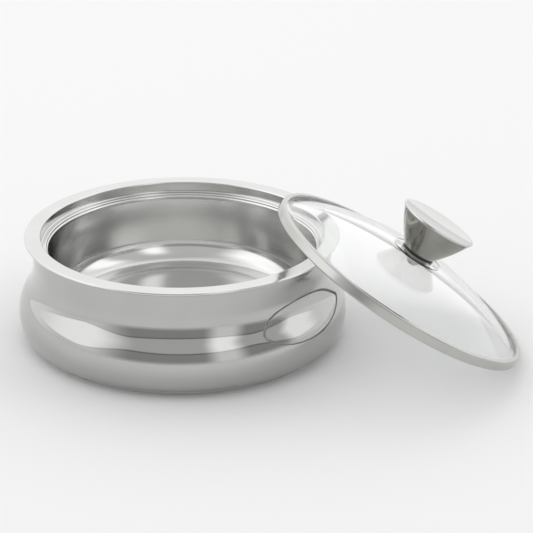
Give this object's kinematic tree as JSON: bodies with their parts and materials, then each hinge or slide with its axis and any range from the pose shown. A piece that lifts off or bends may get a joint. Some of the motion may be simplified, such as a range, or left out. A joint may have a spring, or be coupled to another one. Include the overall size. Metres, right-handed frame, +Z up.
{
  "type": "insulated casserole",
  "caption": "Double-walled round steel casserole with a swelling belly and a flanged rim, and a domed glass lid with a flared steel knob leaning against it.",
  "frame": {"origin": "centre of the ring the pot stands on, at the level of the surface under it", "axes": "+Z up along the pot's axis; +X towards the side where the lid leans; +Y away from the side the open lid shows its edge to"},
  "size_m": [0.3895, 0.2736, 0.1213],
  "materials": {
    "bowl_steel": "satin",
    "shell_steel": "polished",
    "base_steel": "satin",
    "grey_rubber": "matte",
    "foam": "matte",
    "band_steel": "polished",
    "dark_silicone": "matte",
    "pale_silicone": "satin",
    "clear_glass": "gloss",
    "fastener_steel": "satin",
    "knob_steel": "satin"
  },
  "bodies": {
    "pot": {"inner_bowl": "bowl_steel", "outer_shell": "shell_steel", "base_plate": "base_steel", "base_plug": "grey_rubber", "insulation_foam": "foam"},
    "lid": {"rim_band": "band_steel", "glass_gasket": "pale_silicone", "lid_glass": "clear_glass", "glass_bush": "pale_silicone", "knob_seal": "dark_silicone", "lower_seal": "pale_silicone", "lower_washer": "fastener_steel", "lock_washer": "fastener_steel", "knob_screw": "fastener_steel", "knob_shell": "knob_steel", "knob_cap": "knob_steel", "knob_insert": "fastener_steel"}
  },
  "joints": [
    {"name": "lid_lift", "type": "slide", "parent": "pot", "child": "lid", "axis": [0.5207, 0.0584, 0.8517], "range_m": [0, 0.15]}
  ]
}
